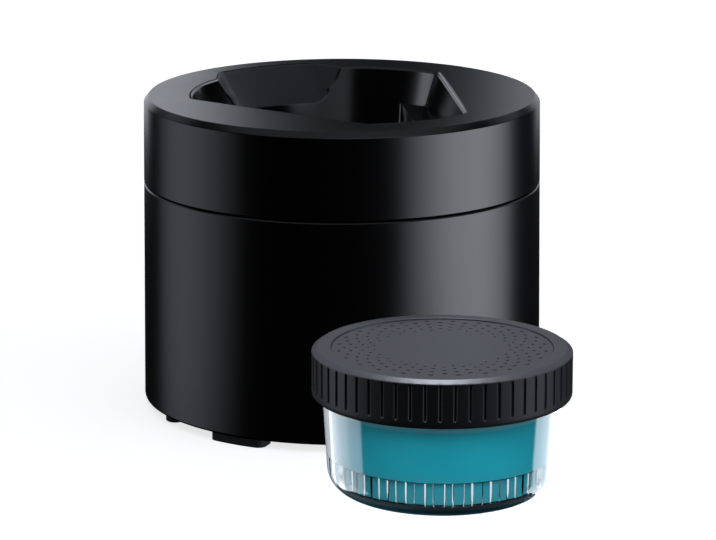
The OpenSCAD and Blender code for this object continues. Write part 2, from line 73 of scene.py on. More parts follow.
def add(tree, kind, inputs={}, **settings):
    """One shader node. Settings are its own options, and inputs are values or the outputs that feed them."""
    made = tree.nodes.new("ShaderNode" + kind)
    for name, value in settings.items():
        setattr(made, name, value)
    for name, value in inputs.items():
        if isinstance(value, bpy.types.NodeSocket):
            tree.links.new(value, made.inputs[name])
        else:
            made.inputs[name].default_value = value
    return made


def new_material(name):
    """An empty material, and its node tree."""
    made = bpy.data.materials.new(name)
    made.use_nodes = True
    made.node_tree.nodes.clear()
    return made, made.node_tree


def studio_paper():
    """Matt white paper, bright enough to come out white."""
    made, tree = new_material("studio_paper")
    shine = add(tree, "Emission", {"Color": srgb("#ffffff"), "Strength": 0.75})
    paper = add(tree, "BsdfDiffuse", {"Color": srgb("#f4f4f4")})
    both = add(tree, "AddShader", {0: shine.outputs[0], 1: paper.outputs[0]})
    add(tree, "OutputMaterial", {"Surface": both.outputs[0]})
    return made


def mesh_object(name, points, faces):
    """A mesh piece from points in metres and faces."""
    mesh = bpy.data.meshes.new(name)
    mesh.from_pydata(points, [], faces)
    made = bpy.data.objects.new(name, mesh)
    bpy.context.scene.collection.objects.link(made)
    return made


FLOOR_HALF = 6
floor = mesh_object("floor", [(x, y, 0) for x, y in
                              ((-FLOOR_HALF, -FLOOR_HALF), (FLOOR_HALF, -FLOOR_HALF),
                               (FLOOR_HALF, FLOOR_HALF), (-FLOOR_HALF, FLOOR_HALF))], [(0, 1, 2, 3)])
floor.data.materials.append(studio_paper())
floor.visible_glossy = False
floor.visible_diffuse = False
floor.visible_shadow = False
floor.visible_transmission = False


BOX_AIM = Vector((0, 0, 60)) * MM


def softbox(name, turn, rise, distance, width, height, radiance, soft=0.1, inside=1.0):
    """A soft box that faces the pod, placed by its turn to the right of the camera and its rise, in degrees.

    Its light fades to nothing over the outer part, soft, of each half of its width. Rays that have been
    through a clear wall see the share inside of it.
    """
    towards = Vector((EYE.x - AIM.x, EYE.y - AIM.y, 0)).normalized()
    right = Vector((-towards.y, towards.x, 0))
    a, e = math.radians(turn), math.radians(rise)
    direction = (towards * math.cos(a) + right * math.sin(a)) * math.cos(e) + Vector((0, 0, math.sin(e)))
    light = bpy.data.lights.new(name, "AREA")
    light.shape = "RECTANGLE"
    light.size, light.size_y = width, height
    light.energy = radiance * 4 * width * height
    light.use_nodes = True
    tree = light.node_tree
    tree.nodes.clear()
    place = add(tree, "SeparateXYZ", {0: add(tree, "NewGeometry").outputs["Parametric"]})
    middle = add(tree, "Math", {0: place.outputs["X"], 1: 0.5}, operation="SUBTRACT")
    off = add(tree, "Math", {0: middle.outputs[0]}, operation="ABSOLUTE")
    fade = add(tree, "MapRange", {"Value": off.outputs[0], "From Min": 0.5, "From Max": 0.5 - soft / 2})
    ray = add(tree, "LightPath")
    share = add(tree, "MapRange", {"Value": ray.outputs["Transmission Depth"], "To Min": 1.0,
                                   "To Max": inside})
    strength = add(tree, "Math", {0: fade.outputs[0], 1: share.outputs[0]}, operation="MULTIPLY")
    shine = add(tree, "Emission", {"Color": srgb("#f0f5ff"), "Strength": strength.outputs[0]})
    add(tree, "OutputLight", {"Surface": shine.outputs[0]})
    made = bpy.data.objects.new(name, light)
    bpy.context.scene.collection.objects.link(made)
    made.location = BOX_AIM + direction * distance
    made.rotation_euler = direction.to_track_quat("Z", "Y").to_euler()
    made.visible_camera = False
    made.visible_transmission = False
    return made


pod_boxes = [softbox("softbox_right", 73, -2, 0.9, 1.56, 0.62, 3.3, soft=0.8),
             softbox("softbox_left", -93, -2, 0.9, 1.3, 0.62, 0.72, soft=0.8),
             softbox("softbox_back_right", 160.5, 10, 1.4, 0.76, 1.0, 0.52),
             softbox("softbox_back_left", -160.5, 10, 1.4, 0.8, 1.0, 0.8),
             softbox("softbox_front", 22, 42, 1.3, 1.2, 0.7, 0.45),
             softbox("softbox_top", 0, 88, 1.3, 2.6, 2.6, 0.28),
             softbox("softbox_high_right", 134, 32, 1.4, 0.9, 0.4, 0.35),
             softbox("softbox_high_left", -134, 32, 1.4, 0.9, 0.4, 0.35)]

world = bpy.data.worlds.new("studio")
bpy.context.scene.world = world
world.use_nodes = True
world.node_tree.nodes.clear()
seen = add(world.node_tree, "LightPath")
room = add(world.node_tree, "Background", {"Color": srgb("#202020"), "Strength": 0.3})
way = add(world.node_tree, "SeparateXYZ", {0: add(world.node_tree, "TexCoord").outputs["Generated"]})
# What a clear wall shows of the room: pale paper, and navy where the ray goes steeply down.
ahead = add(world.node_tree, "MapRange", {"Value": way.outputs["Z"], "From Min": -0.55, "From Max": -0.35})
through = add(world.node_tree, "MixRGB", {"Fac": ahead.outputs[0], "Color1": srgb("#1c3f50"),
                                           "Color2": srgb("#b9d3d8")})
tint = add(world.node_tree, "MixRGB", {"Fac": seen.outputs["Is Camera Ray"], "Color1": through.outputs[0],
                                        "Color2": srgb("#ffffff")})
paper_sweep = add(world.node_tree, "Background", {"Color": tint.outputs[0], "Strength": 1.0})
white = add(world.node_tree, "Math", {0: seen.outputs["Is Camera Ray"],
                                      1: seen.outputs["Is Transmission Ray"]}, operation="MAXIMUM")
sky = add(world.node_tree, "MixShader", {0: white.outputs[0], 1: room.outputs[0], 2: paper_sweep.outputs[0]})
add(world.node_tree, "OutputWorld", {"Surface": sky.outputs[0]})
bpy.context.scene.view_settings.view_transform = "Standard"


# ---------- Base shell ----------
# The outer wall of the base, one tall moulding in black ABS with a fine satin skin and a little draft. It
# carries the bayonet ledges inside its mouth, and the floor is screwed up into its bosses.
def satin_abs(name, colour, roughness):
    """Moulded ABS with a fine spark-eroded skin: near black, and its reflections are broad and soft."""
    made, tree = new_material(name)
    place = add(tree, "TexCoord")
    skin = add(tree, "TexNoise", {"Vector": place.outputs["Object"], "Scale": 1 / (0.25 * MM), "Detail": 2.0})
    bump = add(tree, "Bump", {"Strength": 0.05, "Distance": 0.01 * MM, "Height": skin.outputs[0]})
    cloud = add(tree, "TexNoise", {"Vector": place.outputs["Object"], "Scale": 1 / (30 * MM), "Detail": 3.0})
    rough = add(tree, "MapRange", {"Value": cloud.outputs[0], "To Min": roughness - 0.025,
                                   "To Max": roughness + 0.025})
    body = add(tree, "BsdfPrincipled", {"Base Color": srgb(colour), "Roughness": rough.outputs[0],
                                        "IOR": 1.52, "Normal": bump.outputs[0]})
    add(tree, "OutputMaterial", {"Surface": body.outputs[0]})
    return made


def dress(material, *nodes):
    """Gives CAD nodes whose shape is right their material."""
    for name in nodes:
        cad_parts[name].data.materials.clear()
        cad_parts[name].data.materials.append(material)


satin_black = satin_abs("satin_black_abs", "#030304", 0.25)
dress(satin_black, "base_shell")


# ---------- Floor of the base ----------
# A flat ABS moulding with a hinged door for the batteries. It stands on soft pads, and seven steel screws
# hold it to the base shell and to the cradle.
def moulded_pp(name, colour, roughness):
    """Moulded polypropylene, seldom seen: dark grey, dull and a little waxy, with faint flow clouds."""
    made, tree = new_material(name)
    place = add(tree, "TexCoord")
    flow = add(tree, "TexNoise", {"Vector": place.outputs["Object"], "Scale": 1 / (14 * MM), "Detail": 4.0,
                                  "Distortion": 0.6})
    tint = add(tree, "MixRGB", {"Fac": flow.outputs[0], "Color1": srgb(colour),
                                "Color2": [c * 1.35 for c in srgb(colour)[:3]] + [1]})
    skin = add(tree, "TexNoise", {"Vector": place.outputs["Object"], "Scale": 1 / (0.4 * MM), "Detail": 2.0})
    bump = add(tree, "Bump", {"Strength": 0.12, "Distance": 0.02 * MM, "Height": skin.outputs[0]})
    body = add(tree, "BsdfPrincipled", {"Base Color": tint.outputs[0], "Roughness": roughness, "IOR": 1.49,
                                        "Normal": bump.outputs[0]})
    add(tree, "OutputMaterial", {"Surface": body.outputs[0]})
    return made


def soft_rubber(name, colour):
    """Moulded EPDM rubber: black going grey, matt, with a dusty bloom in the low places of its skin."""
    made, tree = new_material(name)
    place = add(tree, "TexCoord")
    dust = add(tree, "TexNoise", {"Vector": place.outputs["Object"], "Scale": 1 / (3 * MM), "Detail": 5.0})
    tint = add(tree, "MixRGB", {"Fac": dust.outputs[0], "Color1": srgb(colour), "Color2": srgb("#2a2a2b")})
    bump = add(tree, "Bump", {"Strength": 0.2, "Distance": 0.05 * MM, "Height": dust.outputs[0]})
    body = add(tree, "BsdfPrincipled", {"Base Color": tint.outputs[0], "Roughness": 0.8, "IOR": 1.5,
                                        "Normal": bump.outputs[0]})
    add(tree, "OutputMaterial", {"Surface": body.outputs[0]})
    return made


def turned_steel(name, colour, roughness):
    """Zinc-plated or bright steel: cool grey metal with fine lines left by the tool."""
    made, tree = new_material(name)
    place = add(tree, "TexCoord")
    lines = add(tree, "TexWave", {"Vector": place.outputs["Object"], "Scale": 1 / (1.2 * MM),
                                  "Distortion": 2.0, "Detail": 2.0}, bands_direction="Z")
    tone = add(tree, "MapRange", {"Value": lines.outputs["Fac"], "To Min": roughness - 0.06,
                                  "To Max": roughness + 0.06})
    bump = add(tree, "Bump", {"Strength": 0.1, "Distance": 0.01 * MM, "Height": lines.outputs["Fac"]})
    body = add(tree, "BsdfPrincipled", {"Base Color": srgb(colour), "Metallic": 1.0,
                                        "Roughness": tone.outputs[0], "Normal": bump.outputs[0]})
    add(tree, "OutputMaterial", {"Surface": body.outputs[0]})
    return made


satin_floor = satin_abs("satin_floor_abs", "#0b0b0d", 0.45)
zinc_steel = turned_steel("zinc_plated_steel", "#b9bcc0", 0.34)
dress(satin_floor, "base_plate", "battery_door")
dress(soft_rubber("epdm_rubber", "#101011"), "rubber_feet")
dress(zinc_steel, "base_screws")


# ---------- Bay for the cartridge, and the batteries behind it ----------
# Polypropylene mouldings on the floor: the cradle the cartridge stands in, and the tubes of three AA cells. A
# rubber ring in the cradle's rim seals the top half to it, and two sprung pins carry the current up.
SLEEVE_BAND = 44
SLEEVE_END = 56.2


def cell_sleeve():
    """Film round an AA cell, plain here: dark, with a copper-coloured upper band and bare nickel on top."""
    made, tree = new_material("cell_sleeve_film")
    place = add(tree, "TexCoord")
    height = add(tree, "SeparateXYZ", {0: place.outputs["Object"]})
    band = add(tree, "Math", {0: height.outputs["Z"], 1: SLEEVE_BAND * MM}, operation="GREATER_THAN")
    bare = add(tree, "Math", {0: height.outputs["Z"], 1: SLEEVE_END * MM}, operation="GREATER_THAN")
    film = add(tree, "MixRGB", {"Fac": band.outputs[0], "Color1": srgb("#17181b"), "Color2": srgb("#9c5a2c")})
    scuff = add(tree, "TexNoise", {"Vector": place.outputs["Object"], "Scale": 1 / (2 * MM), "Detail": 4.0})
    rough = add(tree, "MapRange", {"Value": scuff.outputs[0], "To Min": 0.22, "To Max": 0.38})
    tint = add(tree, "MixRGB", {"Fac": bare.outputs[0], "Color1": film.outputs[0], "Color2": srgb("#c8c8c4")})
    body = add(tree, "BsdfPrincipled", {"Base Color": tint.outputs[0], "Metallic": bare.outputs[0],
                                        "Roughness": rough.outputs[0]})
    add(tree, "OutputMaterial", {"Surface": body.outputs[0]})
    return made


moulded_grey = moulded_pp("moulded_grey_pp", "#1b1c1f", 0.5)
nickel = turned_steel("nickel_plated_strip", "#c9c3b2", 0.3)
gilt = turned_steel("gold_plated_contact", "#d8b768", 0.25)
dress(moulded_grey, "cartridge_cradle", "battery_tray")
dress(soft_rubber("seal_rubber", "#1c1c1d"), "bay_seal", "shaft_seal")
dress(cell_sleeve(), "battery_cells")
dress(nickel, "battery_terminals", "door_contacts")
dress(gilt, "contact_pins", "contact_pads")


# ---------- Wash bowl ----------
# One glossy black moulding under the mouth: a round leaning wall, two flat side walls with the ledges that
# carry the shaver, a scoop at the back and a narrow floor. It is pushed up into the cover until its rim is
# level with the top. All sizes are in millimetres.
COLUMNS = 720
WELL_Y = -1.5
POD_TOP = 106.7
LEDGE = 95
FLOOR = 74
BOWL_SKIN = 2
RIM_ROUND = 0.8
RIM_WIDTH = 0.95
EDGE_CUT = 0.12
COLLAR_LOW = 104.25

# The round wall narrows by WALL_LEAN for each mm down, and the flat side walls by one in SIDE_FALL.
WALL_TOP_R, WALL_LEAN = 51.4, 0.35
SIDE_ANGLE = math.radians(24.2)
SIDE_TOP, SIDE_FALL = 37.2, 3
SIDE_BLEND = 1.2
NEARLY_ALONG = 0.05
RIM_DROP = 0.9
ROW_STEP = 0.35

# The ledge, with a rounded corner above it and a rounded lip at its inner edge, and the trough below it.
LEDGE_ROUND = 1.2
LEDGE_MIDDLE = 29
LIP_ROUND = 0.6
TROUGH_SIDE = 24.8
TROUGH_HEIGHTS = (92, 88, 84, 80, 77)
FLOOR_ROUND = 1.5

# The scoop: a cone about the pod's axis between two cheeks, whose half width is given at y = CHEEK_Y. They
# have two straight parts, each as height, half width there and growth per mm up, and an arc as a foot.
SCOOP_LOW = 94
SCOOP_R, SCOOP_LEAN = 57, 0.92
CHEEK_Y, CHEEK_TAPER = 42, 11 / 18
UPPER_Z, UPPER_HALF, UPPER_GROWTH = 102.3, 22.65, 0.6194
LOWER_Z, LOWER_HALF, LOWER_GROWTH = 99.4, 20.06, 0.893
FOOT_X, FOOT_Z, FOOT_R = 11.9, 102.7, 8.8
CHEEK_BLEND = 2.0
SCOOP_BLEND = 0.7
BEHIND = 0.5

# The two round holes in the bowl's floor, for the spray nozzle and the drain strainer, as y and radius.
FLOOR_HOLES = ((-10.5, 4), (12, 11.5))
HOLE_STEPS = 48


def blunt_min(a, b, width):
    """The smaller of two distances, rounded off where they are nearly the same."""
    close = max(width - abs(a - b), 0) / width
    return min(a, b) - close * close * width / 4


def well_reach(turn, z, side):
    """Distance from the well's axis to its wall at height z, with the flat sides that far from the pod's."""
    x, y = math.cos(turn), math.sin(turn)
    reach = WALL_TOP_R - WALL_LEAN * (POD_TOP - z)
    for hand in (-1, 1):
        across = (hand * math.cos(SIDE_ANGLE), -math.sin(SIDE_ANGLE))
        facing = across[0] * x + across[1] * y
        if facing > NEARLY_ALONG:
            reach = blunt_min(reach, (side - across[1] * WELL_Y) / facing, SIDE_BLEND)
    return reach


def scoop_reach(turn, z):
    """Distance from the well's axis to the wall of the scoop at height z, or 0 where there is no scoop."""
    x, y = math.cos(turn), math.sin(turn)
    if z < SCOOP_LOW or y < BEHIND:
        return 0
    radius = SCOOP_R - SCOOP_LEAN * (POD_TOP - z)
    back = math.sqrt(radius ** 2 - (WELL_Y * x) ** 2) - WELL_Y * y
    if z > UPPER_Z:
        half = UPPER_HALF + UPPER_GROWTH * (z - UPPER_Z)
    elif z > LOWER_Z:
        half = LOWER_HALF + LOWER_GROWTH * (z - LOWER_Z)
    else:
        half = FOOT_X + math.sqrt(FOOT_R ** 2 - (FOOT_Z - z) ** 2)
    cheek = (half + CHEEK_TAPER * (CHEEK_Y - WELL_Y)) / (abs(x) + CHEEK_TAPER * y)
    return blunt_min(back, cheek, CHEEK_BLEND)


def mouth_reach(turn, z, side):
    """Distance from the well's axis to whatever bounds it at height z."""
    wall, scoop = well_reach(turn, z, side), scoop_reach(turn, z)
    return -blunt_min(-wall, -scoop, SCOOP_BLEND)


def side_at(z):
    """Distance of a flat side wall from the pod's axis at height z above the ledge."""
    return SIDE_TOP - (POD_TOP - z) / SIDE_FALL


def well_profile(skin):
    """The well's wall down to its floor, skin outside its inner face, as height, side and growth."""
    start = POD_TOP - RIM_DROP - skin
    rows = []
    heights = [start - ROW_STEP * i for i in range(int((start - LEDGE - 1.4) / ROW_STEP))]
    for z in heights:
        rows.append((z, side_at(z), skin))
    for i in range(7):
        a = math.radians(15 * i)
        rows.append((LEDGE - skin + LEDGE_ROUND * (1 - math.sin(a)) + 0.01,
                     side_at(LEDGE + LEDGE_ROUND) - LEDGE_ROUND * (1 - math.cos(a)), skin))
    rows.append((LEDGE - skin + 0.005, LEDGE_MIDDLE, skin))
    for i in range(5):
        a = math.radians(22.5 * i)
        rows.append((LEDGE - skin - LIP_ROUND * (1 - math.cos(a)),
                     TROUGH_SIDE + LIP_ROUND * (1 - math.sin(a)), skin))
    for z in TROUGH_HEIGHTS:
        rows.append((z - skin, TROUGH_SIDE, skin))
    for i in range(6):
        a = math.radians(18 * i)
        rows.append((FLOOR - skin + FLOOR_ROUND * (1 - math.sin(a)), TROUGH_SIDE,
                     skin - FLOOR_ROUND * (1 - math.cos(a))))
    return rows


def turns():
    """The angles of the points round the well."""
    return [math.tau * i / COLUMNS for i in range(COLUMNS)]


def well_loop(z, side, grow):
    """One loop of points round the well, in metres."""
    return [((mouth_reach(t, z, side) + grow) * math.cos(t) * MM,
             (WELL_Y + (mouth_reach(t, z, side) + grow) * math.sin(t)) * MM, z * MM) for t in turns()]


def skin_faces(rows, columns, closed=False):
    """Quads between loops of points that follow one another."""
    faces = []
    for r in range(rows if closed else rows - 1):
        a, b = r * columns, (r + 1) % rows * columns
        faces += [(a + c, a + (c + 1) % columns, b + (c + 1) % columns, b + c) for c in range(columns)]
    return faces


def shade(made, degrees=30):
    """Smooth shading that keeps broad faces flat, with an edge where faces meet at more than that angle."""
    made.data.shade_smooth()
    made.data.set_sharp_from_angle(angle=math.radians(degrees))
    made.modifiers.new("weighted_normals", "WEIGHTED_NORMAL").keep_sharp = True
    return made


def gloss_abs():
    """Polished ABS: jet black, with sharp bright reflections and the faint waviness of a moulded wall."""
    made, tree = new_material("gloss_black_abs")
    place = add(tree, "TexCoord")
    wave = add(tree, "TexNoise", {"Vector": place.outputs["Object"], "Scale": 1 / (9 * MM), "Detail": 1.0})
    bump = add(tree, "Bump", {"Strength": 0.12, "Distance": 0.05 * MM, "Height": wave.outputs[0]})
    smear = add(tree, "MapRange", {"Value": wave.outputs[0], "To Min": 0.14, "To Max": 0.2})
    body = add(tree, "BsdfPrincipled", {"Base Color": srgb("#050506"), "Roughness": smear.outputs[0],
                                        "IOR": 1.54, "Normal": bump.outputs[0]})
    add(tree, "OutputMaterial", {"Surface": body.outputs[0]})
    return made


def piece(name, mesh_maker, material, body, *nodes):
    """A mesh piece that stands for CAD nodes and rides on their body."""
    made = mesh_maker(name)
    made.data.materials.append(material)
    shade(made)
    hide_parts(*nodes)
    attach(made, body)
    return made


def bowl_mesh(name):
    """The bowl's skin from its floor up over the rim and down outside, closed by floors with two holes."""
    inside = list(reversed(well_profile(0)))
    rim = [(POD_TOP - RIM_ROUND * (1 - math.sin(a)), side_at(POD_TOP), RIM_ROUND * (1 - math.cos(a)))
           for a in (math.radians(15 * i) for i in range(7))]
    land = [(POD_TOP, side_at(POD_TOP), RIM_WIDTH - EDGE_CUT),
            (POD_TOP - EDGE_CUT, side_at(POD_TOP), RIM_WIDTH),
            (COLLAR_LOW, side_at(COLLAR_LOW), RIM_WIDTH)]
    loops = [well_loop(*row) for row in inside + rim + land + well_profile(BOWL_SKIN)]
    points = [p for loop in loops for p in loop]
    faces = skin_faces(len(loops), COLUMNS)
    made = mesh_object(name, points, faces)
    bm = bmesh.new()
    bm.from_mesh(made.data)
    bm.verts.ensure_lookup_table()
    last = (len(loops) - 1) * COLUMNS
    rings = []
    for start, z in ((0, FLOOR), (last, FLOOR - BOWL_SKIN)):
        edges = [bm.edges.get((bm.verts[start + c], bm.verts[start + (c + 1) % COLUMNS]))
                 for c in range(COLUMNS)]
        for y, radius in FLOOR_HOLES:
            ring = [bm.verts.new((radius * math.cos(a) * MM, (y + radius * math.sin(a)) * MM, z * MM))
                    for a in (math.tau * i / HOLE_STEPS for i in range(HOLE_STEPS))]
            edges += [bm.edges.new((ring[i], ring[(i + 1) % HOLE_STEPS])) for i in range(HOLE_STEPS)]
            rings.append(ring)
            bm.verts.ensure_lookup_table()
        bmesh.ops.triangle_fill(bm, edges=edges, use_beauty=True)
    for upper, lower in ((rings[0], rings[2]), (rings[1], rings[3])):
        for i in range(HOLE_STEPS):
            after = (i + 1) % HOLE_STEPS
            bm.faces.new((upper[i], upper[after], lower[after], lower[i]))
    bmesh.ops.recalc_face_normals(bm, faces=bm.faces)
    bm.to_mesh(made.data)
    bm.free()
    return made


def in_scoop(center):
    """Whether a face lies on the scoop's own surface, clear of the rounded edge where it meets the wall."""
    x, y, z = (c / MM for c in center)
    turn = math.atan2(y - WELL_Y, x)
    back = scoop_reach(turn, z)
    return back - well_reach(turn, z, side_at(z)) > 0.3 and math.hypot(x, y - WELL_Y) < back + 0.4


bowl = piece("bowl", bowl_mesh, gloss_abs(), "top_half", "wash_bowl")
bowl.data.materials.append(satin_abs("eroded_black_abs", "#141518", 0.55))
for face in bowl.data.polygons:
    if in_scoop(face.center):
        face.material_index = 1


# ---------- Top cover ----------
# Band, bevelled edge and top face in one satin moulding. The bowl's rim fills its hole with a hair-thin gap.
# Its inner screw bosses are left out here, because nobody sees them.
COVER_INSIDE = 104.3
HOLE_GAP = 1.0
def round_loop(radius, z):
    """A loop about the pod's axis, with its points on the same rays as the well's."""
    loop = []
    for t in turns():
        x, y = math.cos(t), math.sin(t)
        reach = math.sqrt(radius ** 2 - (WELL_Y * x) ** 2) - WELL_Y * y
        loop.append((reach * x * MM, (WELL_Y + reach * y) * MM, z * MM))
    return loop


def cover_mesh(name):
    """The cover as one closed ring of loops: up its hole, out over the top, down outside and back inside."""
    hole = [(COVER_INSIDE, HOLE_GAP), (POD_TOP - EDGE_CUT, HOLE_GAP), (POD_TOP, HOLE_GAP + EDGE_CUT)]
    outside = [(65.1, POD_TOP), (65.3, POD_TOP - 0.03), (65.44, POD_TOP - 0.14), (66.84, 104.87),
               (66.96, 104.66), (67.02, 104.45), (67.26, 77.95), (67.2, 77.72), (66.96, 77.6), (64.6, 77.6),
               (64.6, COVER_INSIDE)]
    loops = [well_loop(z, side_at(z), grow) for z, grow in hole] + [round_loop(r, z) for r, z in outside]
    points = [p for loop in loops for p in loop]
    return mesh_object(name, points, skin_faces(len(loops), COLUMNS, closed=True))


piece("cover", cover_mesh, satin_black, "top_half", "top_cover")


# ---------- Deck and drive, inside the top half ----------
# Dull mouldings that nobody sees until the top is off: deck with spigot and lugs, motor pot, pump stand. With
# them go the steel screws, motor and shaft, an acetal impeller, the sensor and the board.
BOARD_TOP = 85.62

dress(moulded_grey, "lower_deck", "motor_housing", "motor_cover", "pump_column", "pump_intake",
      "sensor_bracket")
dress(satin_floor, "spray_nozzle", "drain_strainer", "start_plunger")
dress(zinc_steel, "deck_screws", "pump_motor", "pump_shaft")
dress(moulded_pp("acetal", "#5c5f63", 0.35), "impeller")
dress(moulded_pp("epoxy_package", "#0b0b0c", 0.4), "start_sensor")


def solder_mask():
    """Glass-epoxy board under green solder mask: dark green and shiny, with black parts standing on it."""
    made, tree = new_material("solder_mask_board")
    place = add(tree, "TexCoord")
    height = add(tree, "SeparateXYZ", {0: place.outputs["Object"]})
    part = add(tree, "Math", {0: height.outputs["Z"], 1: BOARD_TOP * MM}, operation="GREATER_THAN")
    weave = add(tree, "TexNoise", {"Vector": place.outputs["Object"], "Scale": 1 / (1.5 * MM), "Detail": 3.0})
    green = add(tree, "MixRGB", {"Fac": weave.outputs[0], "Color1": srgb("#123f2a"),
                                 "Color2": srgb("#1c5a3b")})
    tint = add(tree, "MixRGB", {"Fac": part.outputs[0], "Color1": green.outputs[0],
                                "Color2": srgb("#111214")})
    body = add(tree, "BsdfPrincipled", {"Base Color": tint.outputs[0], "Roughness": 0.3})
    add(tree, "OutputMaterial", {"Surface": body.outputs[0]})
    return made


dress(solder_mask(), "control_board")


# ---------- Spring of the start plunger ----------
# Five turns of zinc-plated wire between the bracket and the plunger's collar. It rides on the plunger.
PLUNGER_SIDE = -30.3
SPRING_X = PLUNGER_SIDE * math.cos(SIDE_ANGLE)
SPRING_Y = PLUNGER_SIDE * math.sin(SIDE_ANGLE)
SPRING_LOW, SPRING_HIGH = 84.5, 91.4
SPRING_TURNS = 5
TURN_STEPS = 24
WIRE_SIDES = 8
COIL_R, WIRE_R = 2.1, 0.3


def spring_mesh(name):
    """A round wire wound about the plunger's axis, with a flat cap on each end."""
    steps = TURN_STEPS * SPRING_TURNS
    points = []
    for i in range(steps + 1):
        turn = math.tau * SPRING_TURNS * i / steps
        z = SPRING_LOW + WIRE_R + (SPRING_HIGH - SPRING_LOW - 2 * WIRE_R) * i / steps
        for a in (math.tau * j / WIRE_SIDES for j in range(WIRE_SIDES)):
            reach = COIL_R + WIRE_R * math.cos(a)
            points.append(((SPRING_X + reach * math.cos(turn)) * MM, (SPRING_Y + reach * math.sin(turn)) * MM,
                           (z + WIRE_R * math.sin(a)) * MM))
    last = WIRE_SIDES * steps
    ends = [tuple(range(WIRE_SIDES)), tuple(reversed(range(last, last + WIRE_SIDES)))]
    return mesh_object(name, points, skin_faces(steps + 1, WIRE_SIDES) + ends)


spring = piece("spring", spring_mesh, zinc_steel, "start_plunger", "plunger_spring")
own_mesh(spring)


# ---------- Cartridge cup ----------
# A clear moulded copolyester cup, thick at the foot, with 36 ribs inside its wall. The cap screws on its
# neck, which is plain here because the cap hides the thread.
CUP_X, CUP_Y = -25, -107
CUP_RIBS = 36
RIB_TOP_R = 33.0

# One rib and the gap beside it: where their points stand, as a share of both, and how high the rib is there.
RIB_SPOTS = (0, 0.03, 0.06, 0.24, 0.42, 0.45, 0.48, 0.62, 0.76, 0.9)
RIB_HEIGHTS = (0, 0.8, 1, 1, 1, 0.8, 0, 0, 0, 0)


def bend(cx, cy, radius, first, last, steps):
    """Points of an arc, as radius and height."""
    angles = [math.radians(first + (last - first) * i / steps) for i in range(steps + 1)]
    return [(cx + radius * math.cos(a), cy + radius * math.sin(a)) for a in angles]


def about_cartridge(radius, turn, z):
    """A point about the cartridge's own axis, in metres."""
    return ((CUP_X + radius * math.cos(turn)) * MM, (CUP_Y + radius * math.sin(turn)) * MM, z * MM)


def cup_mesh(name):
    """Outside from the recess under the foot to the rim, then inside down to the floor, with raised ribs."""
    recess = [(0.05, 0.8), (26, 0.8), (26.2, 0.6), (26.2, 0.15), (26.4, 0)]
    outer = recess + bend(28.2, 8, 8, -90, 0, 12) + [
        (37.55, 29.6), (37.58, 30.2), (37.4, 30.7), (37.2, 31.4), (37.2, 43.7), (36.9, 44)]
    inner = [(35.7, 44), (35.4, 43.7), (35.4, 31.4), (35.75, 30.2), (34.66, 12.2)]
    ribs = [(34.45, 12.0), (34.45, 11.8), (34.44, 11.5), (34.43, 8), (34.0, 6.3), (33.6, 5.2), (33.3, 4.6)]
    foot = bend(28.2, 8.4, 6.2, -30, -90, 6) + [(0.05, 2.2)]
    rows = outer + inner + ribs + foot
    points = []
    for r, z in rows:
        tall = (r, z) in ribs[1:]
        for rib in range(CUP_RIBS):
            for spot, height in zip(RIB_SPOTS, RIB_HEIGHTS):
                lift = height if tall else 0
                turn = math.tau * (rib + spot) / CUP_RIBS
                points.append(about_cartridge(r - lift * max(r - RIB_TOP_R, 0), turn, z))
    faces = skin_faces(len(rows), CUP_RIBS * len(RIB_SPOTS), closed=True)
    return mesh_object(name, points, faces)


def clear_copolyester():
    """Clear copolyester: see-through face on, milky edge on, and at the foot a cloudy dark teal that is
    painted shade. Shadow rays pass it.
    """
    made, tree = new_material("clear_copolyester")
    place = add(tree, "TexCoord")
    wave = add(tree, "TexNoise", {"Vector": place.outputs["Object"], "Scale": 1 / (12 * MM), "Detail": 1.0})
    bump = add(tree, "Bump", {"Strength": 0.1, "Distance": 0.05 * MM, "Height": wave.outputs[0]})
    wall = add(tree, "BsdfPrincipled", {"Base Color": srgb("#eef6f6"), "Roughness": 0.06, "IOR": 1.45,
                                        "Transmission Weight": 1.0, "Normal": bump.outputs[0]})
    height = add(tree, "SeparateXYZ", {0: place.outputs["Object"]})
    # Painted shade: below 3 to 5 mm up the milk is dark teal, standing for the unlit foot with the fluid seen
    # through it.
    foot = add(tree, "MapRange", {"Value": height.outputs["Z"], "From Min": 3 * MM, "From Max": 5 * MM})
    tint = add(tree, "MixRGB", {"Fac": foot.outputs[0], "Color1": srgb("#2f7186"), "Color2": srgb("#d3e4e6")})
    milk_and_foot_shade = add(tree, "BsdfPrincipled", {"Base Color": tint.outputs[0], "Roughness": 0.25, "IOR": 1.45,
                                        "Normal": bump.outputs[0]})
    edge = add(tree, "LayerWeight", {"Blend": 0.35, "Normal": bump.outputs[0]})
    haze = add(tree, "MapRange", {"Value": edge.outputs["Facing"], "From Min": 0.3, "From Max": 1.0,
                                  "To Min": 0.0, "To Max": 0.12})
    # Half of the wall at the foot is that painted shade.
    shaded_foot_share = add(tree, "MapRange", {"Value": foot.outputs[0], "To Min": 0.5, "To Max": 0.0})
    haze_and_foot_shade = add(tree, "Math", {0: haze.outputs[0], 1: shaded_foot_share.outputs[0]}, operation="ADD")
    body = add(tree, "MixShader", {0: haze_and_foot_shade.outputs[0], 1: wall.outputs[0], 2: milk_and_foot_shade.outputs[0]})
    ray = add(tree, "LightPath")
    clear = add(tree, "BsdfTransparent", {"Color": srgb("#f4fbfb")})
    lit = add(tree, "MixShader", {0: ray.outputs["Is Shadow Ray"], 1: body.outputs[0], 2: clear.outputs[0]})
    add(tree, "OutputMaterial", {"Surface": lit.outputs[0]})
    return made


clear_wall = clear_copolyester()
cup = piece("cup", cup_mesh, clear_wall, "cartridge", "cartridge_cup")


# ---------- Cleaning fluid ----------
# Dyed alcohol and water, which fills the cup to under the cap. It is drawn as cloudy all through, with a
# faint light of its own in place of what would scatter in it. The cap's foam liner is dressed with it.
FLUID_LOW, FLUID_FULL = 6, 16
FOAM_LOW, FOAM_FULL = 28, 28.8


